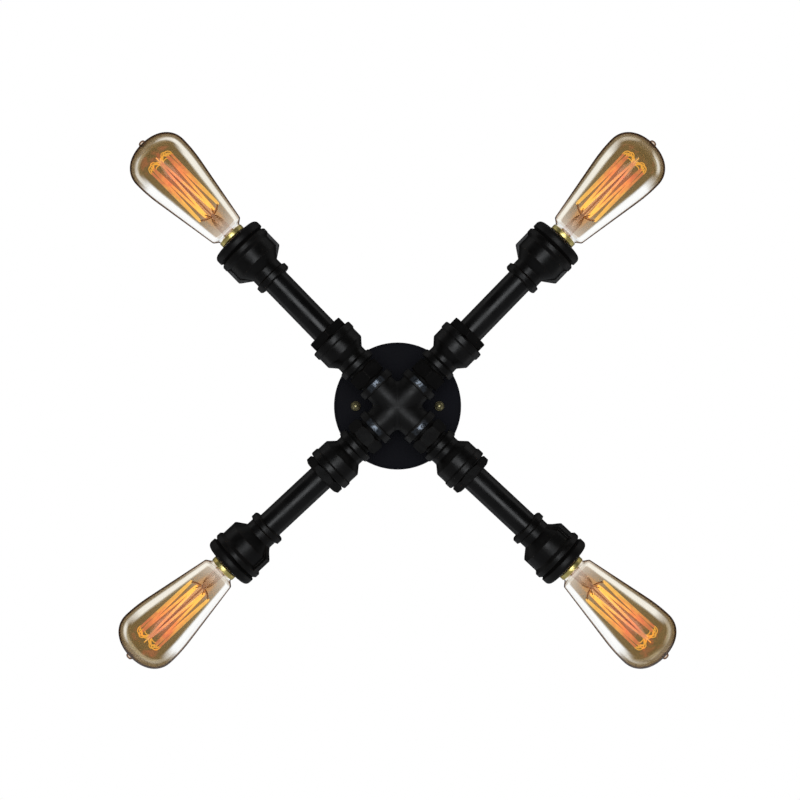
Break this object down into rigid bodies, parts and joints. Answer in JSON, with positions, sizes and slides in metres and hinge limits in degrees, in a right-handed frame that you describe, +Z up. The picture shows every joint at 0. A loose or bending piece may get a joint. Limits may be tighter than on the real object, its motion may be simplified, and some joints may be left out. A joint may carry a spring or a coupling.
{
  "type": "industrial pipe wall light",
  "caption": "Wall light built from threaded iron pipe: a cross on a round wall plate, with pipe arms that end in reducer cups and bare clear bulbs.",
  "frame": {"origin": "centre of the mounting bar's two wall slots, on the wall plane", "axes": "+Y into the wall, the room and the front on the -Y side; +Z up; +X right as seen from the room"},
  "size_m": [0.5439, 0.1018, 0.5233],
  "materials": {
    "black_iron": "black painted malleable casting, slightly rough",
    "black_pipe": "black lacquered steel pipe, satin",
    "black_plate": "smooth satin black",
    "holder_body": "matt white ceramic",
    "holder_rim": "black moulded phenolic",
    "brass_sheet": "plain pressed sheet",
    "brass_cap": "bright, with a rolled thread",
    "polished_brass": "polished",
    "bulb_foot": "black vitrite with a tin-plated contact",
    "bulb_glass": "clear blown glass with an amber tint",
    "stem_glass": "clear drawn glass",
    "filament": "glowing carbon filament",
    "zinc_steel": "zinc plated",
    "wire_cover": "plain insulated lead wire"
  },
  "bodies": {
    "wall_bracket": {"mounting_bar": "zinc_steel", "mounting_studs": "zinc_steel", "earth_screw": "zinc_steel"},
    "fixture": {"arm_pipe_lower_left": "black_pipe", "arm_pipe_lower_right": "black_pipe", "arm_pipe_upper_left": "black_pipe", "arm_pipe_upper_right": "black_pipe", "centre_tongues": "brass_sheet", "hex_bushing_lower_left": "black_iron", "hex_bushing_lower_right": "black_iron", "hex_bushing_upper_left": "black_iron", "hex_bushing_upper_right": "black_iron", "hex_nipple_lower_left": "black_pipe", "hex_nipple_lower_right": "black_pipe", "hex_nipple_upper_left": "black_pipe", "hex_nipple_upper_right": "black_pipe", "holder_ring_lower_left": "holder_rim", "holder_ring_lower_right": "holder_rim", "holder_ring_upper_left": "holder_rim", "holder_ring_upper_right": "holder_rim", "holder_shells": "brass_sheet", "inner_reducer_lower_left": "black_iron", "inner_reducer_lower_right": "black_iron", "inner_reducer_upper_left": "black_iron", "inner_reducer_upper_right": "black_iron", "lamp_cup_lower_left": "black_iron", "lamp_cup_lower_right": "black_iron", "lamp_cup_upper_left": "black_iron", "lamp_cup_upper_right": "black_iron", "lampholder_lower_left": "holder_body", "lampholder_lower_right": "holder_body", "lampholder_upper_left": "holder_body", "lampholder_upper_right": "holder_body", "lead_wires": "wire_cover", "locknuts": "black_pipe", "pipe_cross": "black_iron", "stand_off_nipple": "black_pipe", "wall_plate": "black_plate"},
    "cap_nut_left_body": {"cap_nut_left": "polished_brass"},
    "cap_nut_right_body": {"cap_nut_right": "polished_brass"},
    "bulb_foot_upper_right": {"bulb_contact_upper_right": "bulb_foot"},
    "bulb_upper_right": {"bulb_cap_upper_right": "brass_cap", "bulb_glass_upper_right": "bulb_glass", "bulb_stem_upper_right": "stem_glass", "bulb_filament_upper_right": "filament"},
    "bulb_foot_upper_left": {"bulb_contact_upper_left": "bulb_foot"},
    "bulb_upper_left": {"bulb_cap_upper_left": "brass_cap", "bulb_glass_upper_left": "bulb_glass", "bulb_stem_upper_left": "stem_glass", "bulb_filament_upper_left": "filament"},
    "bulb_foot_lower_left": {"bulb_contact_lower_left": "bulb_foot"},
    "bulb_lower_left": {"bulb_cap_lower_left": "brass_cap", "bulb_glass_lower_left": "bulb_glass", "bulb_stem_lower_left": "stem_glass", "bulb_filament_lower_left": "filament"},
    "bulb_foot_lower_right": {"bulb_contact_lower_right": "bulb_foot"},
    "bulb_lower_right": {"bulb_cap_lower_right": "brass_cap", "bulb_glass_lower_right": "bulb_glass", "bulb_stem_lower_right": "stem_glass", "bulb_filament_lower_right": "filament"}
  },
  "joints": [
    {"name": "fixture_lift_off", "type": "slide", "parent": "wall_bracket", "child": "fixture", "axis": [0, -1, 0], "range_m": [0, 0.03]},
    {"name": "cap_nut_left_off", "type": "slide", "parent": "fixture", "child": "cap_nut_left_body", "axis": [0, -1, 0], "range_m": [0, 0.012]},
    {"name": "cap_nut_right_off", "type": "slide", "parent": "fixture", "child": "cap_nut_right_body", "axis": [0, -1, 0], "range_m": [0, 0.012]},
    {"name": "bulb_travel_upper_right", "type": "slide", "parent": "fixture", "child": "bulb_foot_upper_right", "axis": [0.6972, 0, 0.7169], "range_m": [0, 0.0128]},
    {"name": "bulb_turn_upper_right", "type": "hinge", "parent": "bulb_foot_upper_right", "child": "bulb_upper_right", "pos_m": [0, -0.0698, 0], "axis": [0.6972, 0, 0.7169], "range_deg": [0, 1260]},
    {"name": "bulb_travel_upper_left", "type": "slide", "parent": "fixture", "child": "bulb_foot_upper_left", "axis": [-0.6972, 0, 0.7169], "range_m": [0, 0.0128]},
    {"name": "bulb_turn_upper_left", "type": "hinge", "parent": "bulb_foot_upper_left", "child": "bulb_upper_left", "pos_m": [0, -0.0698, 0], "axis": [-0.6972, 0, 0.7169], "range_deg": [0, 1260]},
    {"name": "bulb_travel_lower_left", "type": "slide", "parent": "fixture", "child": "bulb_foot_lower_left", "axis": [-0.7314, 0, -0.682], "range_m": [0, 0.0128]},
    {"name": "bulb_turn_lower_left", "type": "hinge", "parent": "bulb_foot_lower_left", "child": "bulb_lower_left", "pos_m": [0, -0.0698, 0], "axis": [-0.7314, 0, -0.682], "range_deg": [0, 1260]},
    {"name": "bulb_travel_lower_right", "type": "slide", "parent": "fixture", "child": "bulb_foot_lower_right", "axis": [0.7314, 0, -0.682], "range_m": [0, 0.0128]},
    {"name": "bulb_turn_lower_right", "type": "hinge", "parent": "bulb_foot_lower_right", "child": "bulb_lower_right", "pos_m": [0, -0.0698, 0], "axis": [0.7314, 0, -0.682], "range_deg": [0, 1260]}
  ],
  "couplings": [
    {"joint": "bulb_travel_upper_right", "follows": "bulb_turn_upper_right", "m_per_rad": 0.0005775},
    {"joint": "bulb_travel_upper_left", "follows": "bulb_turn_upper_left", "m_per_rad": 0.0005775},
    {"joint": "bulb_travel_lower_left", "follows": "bulb_turn_lower_left", "m_per_rad": 0.0005775},
    {"joint": "bulb_travel_lower_right", "follows": "bulb_turn_lower_right", "m_per_rad": 0.0005775}
  ]
}
